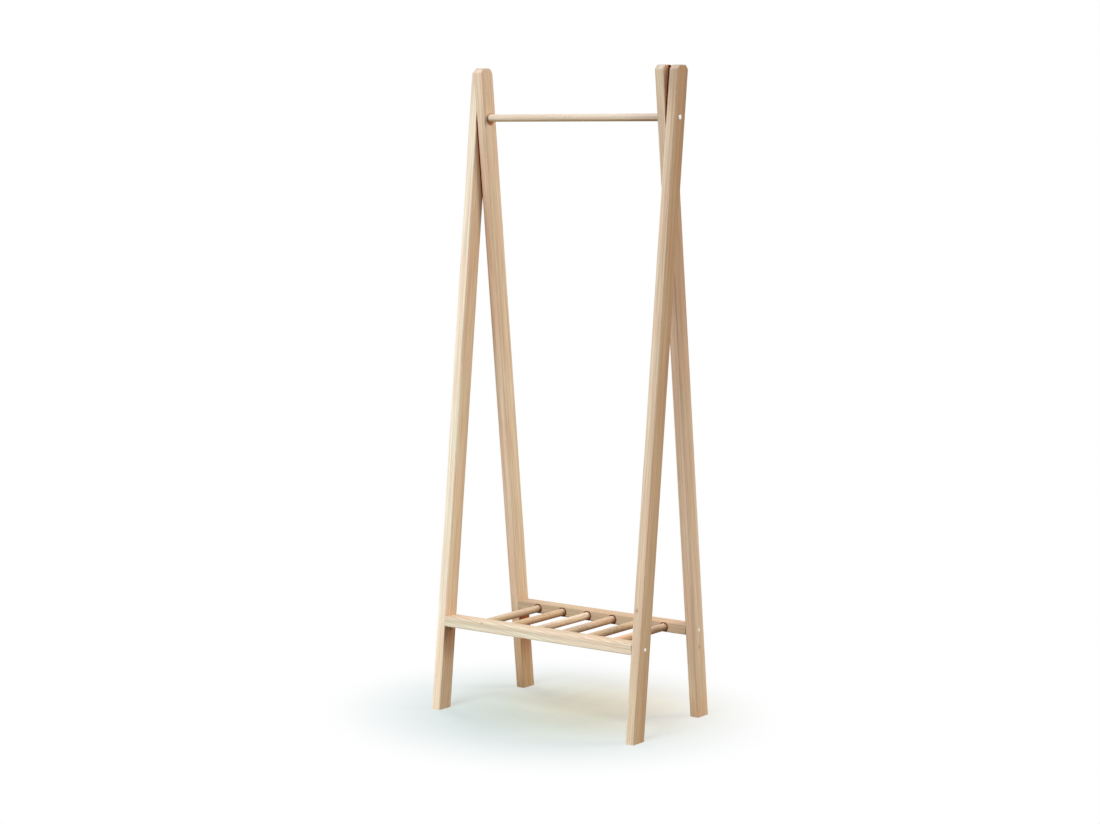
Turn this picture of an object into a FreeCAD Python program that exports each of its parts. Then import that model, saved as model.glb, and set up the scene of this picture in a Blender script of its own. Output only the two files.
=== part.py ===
import FreeCAD, Part
import math
import os

# A free-standing clothes rack of planed battens and round rods, held by connector screws.
# Millimetres. +X runs along the hanging rail to the right, +Y to the rear, +Z up.
# The origin is on the floor, in the middle of the four feet.

# Overall sizes
rack_height = 1560.0            # floor to the tops of the legs
rack_width = 600.0              # across the outer faces of the front legs
rack_depth = 357.0              # across the feet, along the floor
top_overhang = 120.0            # height of the legs above the point where they cross

# Legs
leg_thickness = 24.0            # along the hanging rail
leg_depth = 45.0                # square to the leg's length, seen from the side
edge_radius = 3.0               # rounding along the edges of the legs
top_chamfer = 10.0              # cut off the front and rear corners at the top, along each face
top_corner_ease = 1.5           # by how much the chamfer's own corners are rounder than the edges

# Hanging rail
rail_diameter = 18.0

# Shelf: two rails laid flat, with round slats let into them
shelf_height = 216.5            # floor to the centre line of rails and slats
shelf_rail_thickness = 24.0     # upright
shelf_rail_depth = 45.0         # front to rear
shelf_rail_edge_radius = 3.0
slat_count = 6
slat_diameter = 18.0
slat_end_margin = 62.0          # rear rail's end to the centre line of the nearest slat
slat_socket_depth = 15.0
slat_end_gap = 0.5              # glue space between a slat's end and the bottom of its socket
slat_end_chamfer = 1.0

# Connector screws with a flat countersunk head, a smooth shank and a threaded core:
# a stout one through each crossing, and a thinner one at each corner of the shelf
crossing_head_diameter = 10.0
crossing_head_height = 4.5
crossing_shank_diameter = 7.0
crossing_core_diameter = 5.0
crossing_hex_width = 4.0        # across the socket's flats
crossing_bite = 22.0            # length in the end of the hanging rail
shelf_head_diameter = 7.0
shelf_head_height = 3.2
shelf_shank_diameter = 5.0
shelf_core_diameter = 3.5
shelf_hex_width = 3.0           # across the socket's flats
shelf_bite = 26.0               # length in the end of a shelf rail
screw_head_rim = 0.8            # straight rim of the head, above its cone
hex_socket_depth = 3.5
pilot_hole_extra = 3.0          # pilot hole beyond the screw's tip

# Cover caps on the screw heads
cap_lip = 0.75                  # how far the cap reaches past the screw head
cap_rim = 0.7                   # thickness at its edge
cap_crown = 0.8                 # rise of the crown above the edge
cap_bevel = 1.6                 # width of the slope from edge to crown
cap_peg_length = 3.0            # peg pressed into the hexagon socket

# Clearances
hole_clearance = 0.1            # round a screw or a slat in its hole
peg_clearance = 0.05            # each side of the cap's peg in its socket

# Worked out from the sizes above
# The legs lean so that their centre lines cross at the hanging rail and their feet span the rack's depth.
rail_height = rack_height - top_overhang
foot_to_rail = math.hypot(rack_depth / 2, rail_height)
lean = math.acos(leg_depth / 2 / foot_to_rail) - math.atan2(rail_height, rack_depth / 2)
leg_half_run = leg_depth / 2 / math.cos(lean)
top_corner_radius = edge_radius + top_corner_ease

front_leg_outer_x = rack_width / 2
front_leg_inner_x = front_leg_outer_x - leg_thickness
rear_leg_outer_x = front_leg_inner_x
rear_leg_inner_x = rear_leg_outer_x - leg_thickness

front_rail_length = 2 * front_leg_inner_x
rear_rail_length = 2 * rear_leg_inner_x
shelf_rail_y = (rail_height - shelf_height) * math.tan(lean)
slat_pitch = (rear_rail_length - 2 * slat_end_margin) / (slat_count - 1)
slat_half_length = shelf_rail_y - shelf_rail_depth / 2 + slat_socket_depth - slat_end_gap

FRONT = -1
REAR = 1
LEFT = -1
RIGHT = 1
SIDE_NAMES = {LEFT: "left", RIGHT: "right"}
END_NAMES = {FRONT: "front", REAR: "rear"}
TOLERANCE = 1e-6


class Gauge:
    """Sizes of one kind of connector screw."""

    def __init__(self, head_diameter, head_height, shank_diameter, core_diameter, hex_width, bite):
        self.head_radius = head_diameter / 2
        self.head_height = head_height
        self.shank_radius = shank_diameter / 2
        self.core_radius = core_diameter / 2
        self.hex_width = hex_width
        self.bite = bite


crossing_gauge = Gauge(
    crossing_head_diameter,
    crossing_head_height,
    crossing_shank_diameter,
    crossing_core_diameter,
    crossing_hex_width,
    crossing_bite,
)
shelf_gauge = Gauge(
    shelf_head_diameter,
    shelf_head_height,
    shelf_shank_diameter,
    shelf_core_diameter,
    shelf_hex_width,
    shelf_bite,
)


def vec(x, y, z):
    return FreeCAD.Vector(x, y, z)


def leg_centre_y(end, z):
    """Y of a front or rear leg's centre line at height z; both pass through the crossing."""
    return end * (rail_height - z) * math.tan(lean)


def leg_outer_x(end):
    """Distance of a leg's outer face from the middle of the rack."""
    return front_leg_outer_x if end == FRONT else rear_leg_outer_x


def along_x(shape, side, x, y, z):
    """Turn a shape made along +Z so that it points inwards from the face at side * x."""
    shape.Placement = FreeCAD.Placement(
        vec(side * x, y, z),
        FreeCAD.Rotation(vec(0, 0, 1), vec(-side, 0, 0)),
    )
    return shape


def revolved(points):
    """Solid of revolution about Z from (radius, height) points that start and end on the axis."""
    outline = [vec(radius, 0, height) for radius, height in points]
    face = Part.Face(Part.makePolygon(outline + outline[:1]))
    return face.revolve(vec(0, 0, 0), vec(0, 0, 1), 360)


def hexagon_prism(width, length):
    """Hexagon bar across flats along +Z, from the origin."""
    corner = width / math.sqrt(3)
    angles = [math.radians(60 * step) for step in range(6)]
    outline = [vec(corner * math.cos(a), corner * math.sin(a), 0) for a in angles]
    return Part.Face(Part.makePolygon(outline + outline[:1])).extrude(vec(0, 0, length))


def head_seat(gauge):
    """Cutter for the countersink that takes a screw's head, along +Z from the face."""
    seat_radius = gauge.head_radius + hole_clearance
    return revolved([
        (0, 0),
        (seat_radius, 0),
        (seat_radius, screw_head_rim),
        (gauge.shank_radius + hole_clearance, gauge.head_height),
        (0, gauge.head_height),
    ])


def shank_hole(gauge, countersunk):
    """Cutter for a screw's hole through one leg, along +Z from the leg's outer face."""
    hole = Part.makeCylinder(gauge.shank_radius + hole_clearance, leg_thickness)
    return hole.fuse(head_seat(gauge)) if countersunk else hole


def pilot_hole(gauge):
    """Cutter for the threaded core in a rail's end, along +Z from the end face."""
    return Part.makeCylinder(gauge.core_radius + hole_clearance, gauge.bite + pilot_hole_extra)


def leg_blank(end, side):
    """Batten with its foot and top cut level, chamfered at the top and rounded along its edges."""
    top_y = leg_centre_y(end, rack_height)
    foot_y = leg_centre_y(end, 0)
    shoulder_z = rack_height - top_chamfer * math.cos(lean)
    shoulder_y = leg_centre_y(end, shoulder_z)
    outer_x = leg_outer_x(end)
    low_x = min(side * outer_x, side * (outer_x - leg_thickness))
    outline = [
        vec(low_x, foot_y - leg_half_run, 0),
        vec(low_x, foot_y + leg_half_run, 0),
        vec(low_x, shoulder_y + leg_half_run, shoulder_z),
        vec(low_x, top_y + leg_half_run - top_chamfer, rack_height),
        vec(low_x, top_y - leg_half_run + top_chamfer, rack_height),
        vec(low_x, shoulder_y - leg_half_run, shoulder_z),
    ]
    blank = Part.Face(Part.makePolygon(outline + outline[:1])).extrude(vec(leg_thickness, 0, 0))
    top_corners = [
        edge for edge in blank.Edges
        if edge.BoundBox.XLength > TOLERANCE and edge.BoundBox.ZMin > shoulder_z - TOLERANCE
    ]
    blank = blank.makeFillet(top_corner_radius, top_corners)
    side_edges = [
        edge for edge in blank.Edges
        if edge.BoundBox.XLength < TOLERANCE and edge.BoundBox.ZMax > TOLERANCE
    ]
    return blank.makeFillet(edge_radius, side_edges)


def leg(end, side):
    """Leg with the holes for its crossing screw and its shelf screw."""
    outer_x = leg_outer_x(end)
    crossing_hole = along_x(shank_hole(crossing_gauge, end == FRONT), side, outer_x, 0, rail_height)
    shelf_y = leg_centre_y(end, shelf_height)
    shelf_hole = along_x(shank_hole(shelf_gauge, True), side, outer_x, shelf_y, shelf_height)
    return leg_blank(end, side).cut([crossing_hole, shelf_hole])


def hanging_rail():
    """Round rod between the rear legs, with a pilot hole in each end."""
    rod = Part.makeCylinder(
        rail_diameter / 2,
        rear_rail_length,
        vec(-rear_leg_inner_x, 0, rail_height),
        vec(1, 0, 0),
    )
    holes = [
        along_x(pilot_hole(crossing_gauge), side, rear_leg_inner_x, 0, rail_height)
        for side in (LEFT, RIGHT)
    ]
    return rod.cut(holes)


def slat_x(index):
    """X of a slat's centre line, counted from the left."""
    return (index - (slat_count - 1) / 2) * slat_pitch


def shelf_rail(end):
    """Batten laid flat between two legs, with sockets for the slats and pilot holes in its ends."""
    length = front_rail_length if end == FRONT else rear_rail_length
    centre_y = end * shelf_rail_y
    batten = Part.makeBox(
        length,
        shelf_rail_depth,
        shelf_rail_thickness,
        vec(-length / 2, centre_y - shelf_rail_depth / 2, shelf_height - shelf_rail_thickness / 2),
    )
    long_edges = [edge for edge in batten.Edges if edge.BoundBox.XLength > TOLERANCE]
    batten = batten.makeFillet(shelf_rail_edge_radius, long_edges)
    inner_face_y = centre_y - end * shelf_rail_depth / 2
    sockets = [
        Part.makeCylinder(
            slat_diameter / 2 + hole_clearance,
            slat_socket_depth,
            vec(slat_x(index), inner_face_y, shelf_height),
            vec(0, end, 0),
        )
        for index in range(slat_count)
    ]
    holes = [
        along_x(pilot_hole(shelf_gauge), side, length / 2, centre_y, shelf_height)
        for side in (LEFT, RIGHT)
    ]
    return batten.cut(sockets + holes)


def slat(index):
    """Round rod from socket to socket, with its ends chamfered."""
    rod = Part.makeCylinder(
        slat_diameter / 2,
        2 * slat_half_length,
        vec(slat_x(index), -slat_half_length, shelf_height),
        vec(0, 1, 0),
    )
    end_edges = [edge for edge in rod.Edges if edge.BoundBox.YLength < TOLERANCE]
    return rod.makeChamfer(slat_end_chamfer, end_edges)


def screw(gauge, grip):
    """Connector screw along +Z: its head flush with z = 0, its shank as long as the grip."""
    tip_z = grip + gauge.bite
    body = revolved([
        (0, 0),
        (gauge.head_radius, 0),
        (gauge.head_radius, screw_head_rim),
        (gauge.shank_radius, gauge.head_height),
        (gauge.shank_radius, grip),
        (gauge.core_radius, grip),
        (gauge.core_radius, tip_z),
        (0, tip_z),
    ])
    return body.cut(hexagon_prism(gauge.hex_width, hex_socket_depth))


def cap(gauge):
    """Cover cap along +Z, lying on the face at z = 0, with its hexagon peg in the screw head."""
    cap_radius = gauge.head_radius + cap_lip
    crown_z = -cap_rim - cap_crown
    disc = revolved([
        (0, 0),
        (cap_radius, 0),
        (cap_radius, -cap_rim),
        (cap_radius - cap_bevel, crown_z),
        (0, crown_z),
    ])
    peg = hexagon_prism(gauge.hex_width - 2 * peg_clearance, cap_peg_length)
    return disc.fuse(peg)


def crossing_fastener(side):
    """Screw through both legs into the hanging rail's end, and its cap."""
    place = (side, front_leg_outer_x, 0, rail_height)
    return along_x(screw(crossing_gauge, 2 * leg_thickness), *place), along_x(cap(crossing_gauge), *place)


def shelf_fastener(end, side):
    """Screw through one leg into a shelf rail's end, and its cap."""
    place = (side, leg_outer_x(end), leg_centre_y(end, shelf_height), shelf_height)
    return along_x(screw(shelf_gauge, leg_thickness), *place), along_x(cap(shelf_gauge), *place)


def build_rack():
    """All the pieces by name."""
    pieces = {"hanging_rail": hanging_rail()}
    for end, end_name in END_NAMES.items():
        pieces[f"{end_name}_shelf_rail"] = shelf_rail(end)
    for index in range(slat_count):
        pieces[f"shelf_slat_{index + 1}"] = slat(index)
    for side, side_name in SIDE_NAMES.items():
        pieces[f"{side_name}_crossing_screw"], pieces[f"{side_name}_crossing_cap"] = crossing_fastener(side)
        for end, end_name in END_NAMES.items():
            corner = f"{end_name}_{side_name}"
            pieces[f"{corner}_leg"] = leg(end, side)
            pieces[f"{corner}_shelf_screw"], pieces[f"{corner}_shelf_cap"] = shelf_fastener(end, side)
    return pieces


os.makedirs("parts", exist_ok=True)
for piece_name, solid in build_rack().items():
    if not solid.isValid() or len(solid.Solids) != 1:
        raise ValueError(f"{piece_name} is not one valid solid")
    solid.exportStep(f"parts/{piece_name}.step")
    print(f"{piece_name}: {solid.Volume / 1000:.2f} cm3")
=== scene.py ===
"""Looks of a free-standing clothes rack: pale planed wood, white cover caps and zinc-plated screws.

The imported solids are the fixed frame, in metres: +X runs along the hanging rail to the right, +Y to the
rear and +Z up. Each length of wood keeps its solid and is cut, as paint, from its own tree: growth rings
round a heart that lies beside the piece, with fibres, pores and pin knots along the piece's own axes. The
screws and the caps are turned surfaces that stand for the plain fasteners.
"""

import logging
import math
from dataclasses import dataclass, field, fields
from enum import Enum
from typing import ClassVar, NamedTuple

import bpy
import numpy as np
from mathutils import Matrix, Vector


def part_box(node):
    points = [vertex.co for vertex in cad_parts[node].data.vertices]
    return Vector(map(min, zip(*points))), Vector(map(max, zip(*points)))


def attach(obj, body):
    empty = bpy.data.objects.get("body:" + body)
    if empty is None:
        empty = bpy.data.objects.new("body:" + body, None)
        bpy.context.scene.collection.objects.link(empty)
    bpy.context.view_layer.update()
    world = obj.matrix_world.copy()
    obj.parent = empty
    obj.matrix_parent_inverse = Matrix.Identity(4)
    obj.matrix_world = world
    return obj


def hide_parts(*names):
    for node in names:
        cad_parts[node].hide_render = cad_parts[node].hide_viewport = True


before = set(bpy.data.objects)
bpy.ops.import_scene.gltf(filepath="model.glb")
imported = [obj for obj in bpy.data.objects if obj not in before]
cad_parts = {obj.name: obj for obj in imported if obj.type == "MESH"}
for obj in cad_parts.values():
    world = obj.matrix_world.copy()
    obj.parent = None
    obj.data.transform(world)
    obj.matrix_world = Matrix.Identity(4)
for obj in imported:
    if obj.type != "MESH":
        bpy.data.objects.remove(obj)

LOG = logging.getLogger("clothes_rack")
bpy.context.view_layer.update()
BODY = "root"
MM = 0.001

Rgb = tuple[float, float, float]
Span = tuple[float, float]
Triple = tuple[float, float, float]
Socket = bpy.types.NodeSocket
Value = Socket | float | tuple[float, ...]

# Paint over the wood's own tone, as a share of each channel
CUT_TINT: Rgb = (0.93, 1.04, 1.13)
EDGE_TINT: Rgb = (0.95, 0.96, 0.97)
FIBRE_SHADE: Span = (1.08, 0.91)
END_GRAIN_DEPTH = 0.30

# A knot's colour, its halo's depth, and in radii the edges of its core and halo and its push on the rings
KNOT_BROWN: Rgb = (0.17, 0.085, 0.04)
HALO_DEPTH = 0.45
CORE_EDGE: Span = (1.0, 0.45)
HALO_EDGE: Span = (3.4, 0.7)
PUSH_REACH = 3.2
PUSH_DEPTH = 1.6
KNOT_STRETCH: Triple = (0.62, 1.0, 1.0)

# The values of a length of wood that its group takes as they are, the painted shade on a foot among them
PLAIN_VALUES = ("seed", "taper", "ring_width", "rings", "bands", "streaks", "pores", "flecks", "foot")

# How the painted light and shade change the tone, as a power of each channel, across a piece and along it
ACROSS_SHADE_POWERS: Triple = (1.0, 1.4, 1.75)
ALONG_SHADE_POWERS: Triple = (1.0, 1.15, 1.25)

# Where the painted shade on a leg's foot starts and is full, along the leg from the crossing
FOOT: Span = (-1.19, -1.30)

# Pores to the metre, the edge of one in its cell, and how dense they are in early wood
PORE_SCALE: Triple = (110.0, 1050.0, 1050.0)
PORE_EDGE: Span = (0.34, 0.12)
PORES_IN_EARLY_WOOD = 0.4

# Where a paint starts and is full, by the part of a face's normal along one of the piece's axes
END_GRAIN_TURN: Span = (0.75, 0.97)
CUT_TURN: Span = (0.3, 0.6)
FRONT_TURN: Span = (-0.4, -0.9)
UNDER_TURN: Span = (0.0, -0.8)

# Where a mask on one face starts and is full, by the share of the way out to that face or the depth below it
ON_FACE: Span = (0.9, 0.97)
LAPPED_DEPTH: Span = (2.5 * MM, 0.5 * MM)

# The fully dark share of the painted shade's reach round a rod, and a pitch so long that its row holds one
# rod
LINE_CORE = 0.3
LONE_PITCH = 1.0

# Blobs to the metre of the broad unevenness of a plated or moulded skin, and where it starts and is full
BROAD_MOTTLE: Triple = (160.0, 160.0, 160.0)
MOTTLE_EDGE: Span = (0.7, 1.3)

# Turned surfaces are creased where their faces turn by more than this
CREASE_ANGLE = math.radians(32)


class Side(Enum):
    """The two ends of the rack, by the sign of X."""

    LEFT = -1
    RIGHT = 1


class End(Enum):
    """Front and rear, by the sign of Y."""

    FRONT = -1
    REAR = 1


class Graph:
    """A node tree, with a short method for each kind of node that the finishes use."""

    def __init__(self, tree: bpy.types.NodeTree) -> None:
        """Keep the tree that the nodes go into."""
        self.tree = tree

    def feed(self, target: Socket, value: Value) -> None:
        """Link a socket to another one, or set it to a constant.

        Args:
            target: The socket to feed.
            value: The other socket or the constant.
        """
        if isinstance(value, bpy.types.NodeSocket):
            self.tree.links.new(value, target)
        else:
            target.default_value = value

    def add(self, kind: str, inputs: dict[str | int, Value], **settings: object) -> bpy.types.Node:
        """Make a node.

        Args:
            kind: Blender's name for the type of node, less its ShaderNode prefix.
            inputs: What goes into its sockets, by name or number.
            **settings: The node's own properties.

        Returns:
            The node.
        """
        node = self.tree.nodes.new("ShaderNode" + kind)
        for name, value in settings.items():
            setattr(node, name, value)
        for key, value in inputs.items():
            self.feed(node.inputs[key], value)
        return node

    def math(self, operation: str, *values: Value) -> Socket:
        """Arithmetic on numbers."""
        return self.add("Math", dict(enumerate(values)), operation=operation).outputs[0]

    def vector(self, operation: str, *values: Value) -> Socket:
        """Arithmetic on vectors, with a vector as the result."""
        return self.add("VectorMath", dict(enumerate(values)), operation=operation).outputs["Vector"]

    def length(self, value: Value) -> Socket:
        """Length of a vector."""
        return self.add("VectorMath", {0: value}, operation="LENGTH").outputs["Value"]

    def dot(self, first: Value, second: Value) -> Socket:
        """Dot product of two vectors."""
        return self.add("VectorMath", {0: first, 1: second}, operation="DOT_PRODUCT").outputs["Value"]

    def parts(self, value: Value) -> tuple[Socket, Socket, Socket]:
        """The three parts of a vector."""
        return tuple(self.add("SeparateXYZ", {0: value}).outputs)

    def joined(self, *parts: Value) -> Socket:
        """A vector from its parts, or a colour from its channels."""
        return self.add("CombineXYZ", dict(enumerate(parts))).outputs[0]

    def step(self, value: Value, low: Value, high: Value, start: Value = 0.0, stop: Value = 1.0) -> Socket:
        """Smooth step from start to stop while the value goes from low to high."""
        inputs = {"Value": value, "From Min": low, "From Max": high, "To Min": start, "To Max": stop}
        return self.add("MapRange", inputs, interpolation_type="SMOOTHSTEP").outputs["Result"]

    def mix(self, factor: Value, first: Value, second: Value, blend: str = "MIX") -> Socket:
        """Mix of two colours."""
        node = self.add("Mix", {0: factor, 6: first, 7: second}, data_type="RGBA", blend_type=blend)
        return node.outputs[2]

    def tint(self, factor: Value, colour: Value, share: Rgb) -> Socket:
        """A colour with each channel brought to a share of itself."""
        return self.mix(factor, colour, (*share, 1.0), "MULTIPLY")

    def noise(self, where: Value, detail: float, roughness: float = 0.5) -> bpy.types.Node:
        """Cloudy noise, one blob to the unit."""
        inputs = {"Vector": where, "Scale": 1.0, "Detail": detail, "Roughness": roughness}
        return self.add("TexNoise", inputs)


class Effect:
    """A shader node group that several finishes share."""

    def __init__(self, name: str, inputs: dict[str, Value], outputs: dict[str, str]) -> None:
        """Make the empty group.

        Args:
            name: The group's name.
            inputs: Its inputs besides the place in the piece, and their usual values; three numbers are a
                vector and four a colour.
            outputs: Its outputs and the type of each.
        """
        self.tree = bpy.data.node_groups.new(name, "ShaderNodeTree")
        self.graph = Graph(self.tree)
        for title, value in {"Vector": (0.0, 0.0, 0.0), **inputs}.items():
            parts = len(value) if isinstance(value, tuple) else 1
            kind = {1: "NodeSocketFloat", 3: "NodeSocketVector", 4: "NodeSocketColor"}[parts]
            self.tree.interface.new_socket(title, in_out="INPUT", socket_type=kind).default_value = value
        for title, kind in outputs.items():
            self.tree.interface.new_socket(title, in_out="OUTPUT", socket_type=kind)
        self.given = self.tree.nodes.new("NodeGroupInput").outputs
        self.result = self.tree.nodes.new("NodeGroupOutput").inputs

    def put_out(self, **values: Value) -> None:
        """Link the group's outputs by name."""
        for title, value in values.items():
            self.graph.feed(self.result[title], value)

    def place(self, graph: Graph, inputs: dict[str, Value]) -> bpy.types.Node:
        """Put the group into a material's tree with its own values."""
        return graph.add("Group", inputs, node_tree=self.tree)


@dataclass(frozen=True)
class Growth:
    """How a tree's yearly rings grow.

    They wander from true circles and are unevenly spaced. Over each year the ring darkens and then stops
    short, and the faintest year is still a share of the darkest one.
    """

    wander_scale: Triple = (1.7, 9.0, 9.0)
    wander_detail: float = 2.0
    wander: Triple = (0.0, 0.014, 0.014)
    unevenness: float = 1.3
    late_rise: Span = (0.25, 0.88)
    late_stop: Span = (1.0, 0.92)
    faintest: float = 0.25


@dataclass(frozen=True)
class Layer:
    """A layer of noise in the wood: blobs to the metre along and across the grain, and its mask's edge."""

    along: float
    across: float
    low: float
    high: float
    detail: float = 2.0
    roughness: float = 0.5

    def noise(self, g: Graph, place: Socket) -> Socket:
        """The noise at a place in the wood."""
        stretched = g.vector("MULTIPLY", place, (self.along, self.across, self.across))
        return g.noise(stretched, self.detail, self.roughness).outputs[0]

    def mask(self, g: Graph, place: Socket) -> Socket:
        """The mask at a place in the wood."""
        return g.step(self.noise(g, place), self.low, self.high)


@dataclass(frozen=True)
class PlanedSkin:
    """Gloss, roughness and relief of planed wood, by what each comes from."""

    gloss: float = 0.06
    roughness: float = 0.44
    fibres_rougher: float = 0.16
    end_grain_rougher: float = 0.16
    joints_rougher: float = 0.4
    late_wood_smoother: float = 0.08
    edges_smoother: float = 0.06
    fibre_height: float = 0.6
    late_wood_height: float = 0.35
    pore_depth: float = 0.7
    bump: float = 0.35
    relief: float = 0.12 * MM


GROWTH = Growth()
SKIN = PlanedSkin()
CLOUDS = Layer(along=6.0, across=42.0, low=0.40, high=0.60)
BANDS = Layer(along=3.0, across=125.0, low=0.42, high=0.68, roughness=0.6)
STREAKS = Layer(along=4.5, across=420.0, low=0.54, high=0.72)
FLECKS = Layer(along=75.0, across=260.0, low=0.52, high=0.70, detail=1.0)
FIBRES = Layer(along=9.0, across=950.0, low=0.3, high=0.7, detail=3.0, roughness=0.65)


def timber_effect() -> Effect:
    """Solid wood in a piece's own axes, with X along the grain.

    The distance from the heart, pushed about by slow noise, counts the growth rings. A ring darkens slowly
    towards its late wood and then starts again. Over that lie slow bands of tone, fine fibres and short dark
    pores. Painted light and shade make the tone slope steadily along and across the piece, and painted shade
    lies on a leg's foot.

    Returns:
        The group, which puts out a colour, a roughness and a height.
    """
    inputs: dict[str, Value] = {
        "End Grain": 0.0,
        "Swirl": 0.0,
        "Heart": (0.0, 0.0, 0.0),
        "Taper": 0.0,
        "Ring Width": 0.003,
        "Rings": 0.5,
        "Bands": 0.5,
        "Streaks": 0.5,
        "Pores": 0.5,
        "Flecks": 0.0,
        "Seed": 0.0,
        "Sap": (0.0, 0.0, 0.0),
        "Foot": (1.0, 1.0, 1.0),
        "Pale": (0.8, 0.6, 0.4, 1.0),
        "Blush": (0.8, 0.6, 0.4, 1.0),
        "Deep": (0.5, 0.3, 0.15, 1.0),
    }
    outputs = {"Colour": "NodeSocketColor", "Roughness": "NodeSocketFloat", "Height": "NodeSocketFloat"}
    effect = Effect("timber", inputs, outputs)
    g, given = effect.graph, effect.given
    seed = given["Seed"]
    place = g.vector("ADD", given["Vector"], g.joined(seed, seed, seed))

    slow = g.noise(g.vector("MULTIPLY", place, GROWTH.wander_scale), GROWTH.wander_detail).outputs["Color"]
    wander = g.vector("MULTIPLY", g.vector("SUBTRACT", slow, (0.5, 0.5, 0.5)), GROWTH.wander)
    from_heart = g.vector("SUBTRACT", g.vector("ADD", given["Vector"], wander), given["Heart"])
    radius = g.length(g.vector("MULTIPLY", from_heart, (0.0, 1.0, 1.0)))
    along = g.parts(given["Vector"])[0]
    radius = g.math("ADD", g.math("MULTIPLY_ADD", along, given["Taper"], radius), given["Swirl"])
    count = g.math("DIVIDE", radius, given["Ring Width"])
    uneven = g.noise(g.joined(count, seed), detail=1.0).outputs[0]
    count = g.math("MULTIPLY_ADD", uneven, GROWTH.unevenness, count)
    tooth = g.math("FRACT", count)
    year = g.add("TexWhiteNoise", {"W": g.math("FLOOR", count)}, noise_dimensions="1D").outputs["Value"]
    late = g.math("MULTIPLY", g.step(tooth, *GROWTH.late_rise), g.step(tooth, *GROWTH.late_stop))
    late = g.math("MULTIPLY", late, g.math("MULTIPLY_ADD", year, 1.0 - GROWTH.faintest, GROWTH.faintest))

    cells = g.add("TexVoronoi", {
        "Vector": g.vector("MULTIPLY", place, PORE_SCALE),
        "Scale": 1.0,
        "Randomness": 1.0,
    })
    density = g.math("MULTIPLY_ADD", late, 1.0 - PORES_IN_EARLY_WOOD, PORES_IN_EARLY_WOOD)
    pores = g.math("MULTIPLY", g.step(cells.outputs["Distance"], *PORE_EDGE), density)
    fibres = FIBRES.noise(g, place)

    colour = g.mix(CLOUDS.mask(g, place), given["Pale"], given["Blush"])
    for mask, depth in (
        (BANDS.mask(g, place), "Bands"),
        (STREAKS.mask(g, place), "Streaks"),
        (late, "Rings"),
        (FLECKS.mask(g, place), "Flecks"),
    ):
        colour = g.mix(g.math("MULTIPLY", mask, given[depth]), colour, given["Deep"])
    shade = g.step(fibres, FIBRES.low, FIBRES.high, *FIBRE_SHADE)
    colour = g.mix(1.0, colour, g.joined(shade, shade, shade), "MULTIPLY")
    colour = g.mix(g.math("MULTIPLY", pores, given["Pores"]), colour, given["Deep"], "MULTIPLY")
    end_depth = g.math("MULTIPLY", given["End Grain"], END_GRAIN_DEPTH)
    colour = g.mix(end_depth, colour, given["Deep"], "MULTIPLY")

    # Painted light and shade: the tone slopes steadily across the piece and along it
    lengthwise, deep, thick = g.parts(g.vector("MULTIPLY", given["Vector"], given["Sap"]))
    rise = g.math("ADD", lengthwise, 1.0)
    sap = g.math("ADD", g.math("ADD", deep, thick), 1.0)
    for base, powers in ((sap, ACROSS_SHADE_POWERS), (rise, ALONG_SHADE_POWERS)):
        channels = g.joined(*(g.math("POWER", base, power) for power in powers))
        colour = g.mix(1.0, colour, channels, "MULTIPLY")
    # Painted shade on a leg's foot
    colour = g.mix(g.step(along, *FOOT), colour, g.vector("MULTIPLY", colour, given["Foot"]))

    roughness = g.math("MULTIPLY_ADD", fibres, SKIN.fibres_rougher, SKIN.roughness)
    roughness = g.math("MULTIPLY_ADD", late, -SKIN.late_wood_smoother, roughness)
    roughness = g.math("MULTIPLY_ADD", given["End Grain"], SKIN.end_grain_rougher, roughness)
    height = g.math("MULTIPLY", fibres, SKIN.fibre_height)
    height = g.math("MULTIPLY_ADD", late, SKIN.late_wood_height, height)
    height = g.math("SUBTRACT", height, g.math("MULTIPLY", pores, SKIN.pore_depth))
    effect.put_out(Colour=colour, Roughness=roughness, Height=height)
    return effect


def pin_knot_effect() -> Effect:
    """A pin knot: a dark core in a brown halo, which pushes the growth rings aside.

    The distance from its centre, shortened along the grain, over its radius gives all three.

    Returns:
        The group, which puts out the two masks and the push.
    """
    inputs: dict[str, Value] = {"Centre": (0.0, 0.0, 0.0), "Radius": 0.002}
    outputs = {name: "NodeSocketFloat" for name in ("Core", "Halo", "Swirl")}
    effect = Effect("pin_knot", inputs, outputs)
    g, given = effect.graph, effect.given
    away = g.vector("MULTIPLY", g.vector("SUBTRACT", given["Vector"], given["Centre"]), KNOT_STRETCH)
    reach = g.math("DIVIDE", g.length(away), given["Radius"])
    far = g.math("DIVIDE", reach, PUSH_REACH)
    push = g.math("EXPONENT", g.math("MULTIPLY", g.math("MULTIPLY", far, far), -1.0))
    effect.put_out(
        Core=g.step(reach, *CORE_EDGE),
        Halo=g.step(reach, *HALO_EDGE),
        Swirl=g.math("MULTIPLY", push, g.math("MULTIPLY", given["Radius"], PUSH_DEPTH)),
    )
    return effect


def sanded_edge_effect() -> Effect:
    """The rounded long edges of a batten, which sanding leaves smoother, painted a little darker.

    The mask is the product of two smooth steps, one across the batten's depth and one across its thickness.

    Returns:
        The group, which puts out the mask.
    """
    inputs: dict[str, Value] = {"Half Section": (0.0, 0.02, 0.01), "Radius": 0.003}
    effect = Effect("sanded_edge", inputs, {"Mask": "NodeSocketFloat"})
    g, given = effect.graph, effect.given
    room = g.vector("SUBTRACT", given["Half Section"], g.vector("ABSOLUTE", given["Vector"]))
    _, depth_room, thickness_room = g.parts(room)
    near_depth = g.step(depth_room, given["Radius"], 0.0)
    near_thickness = g.step(thickness_room, given["Radius"], 0.0)
    effect.put_out(Mask=g.math("MULTIPLY", near_depth, near_thickness))
    return effect


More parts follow.
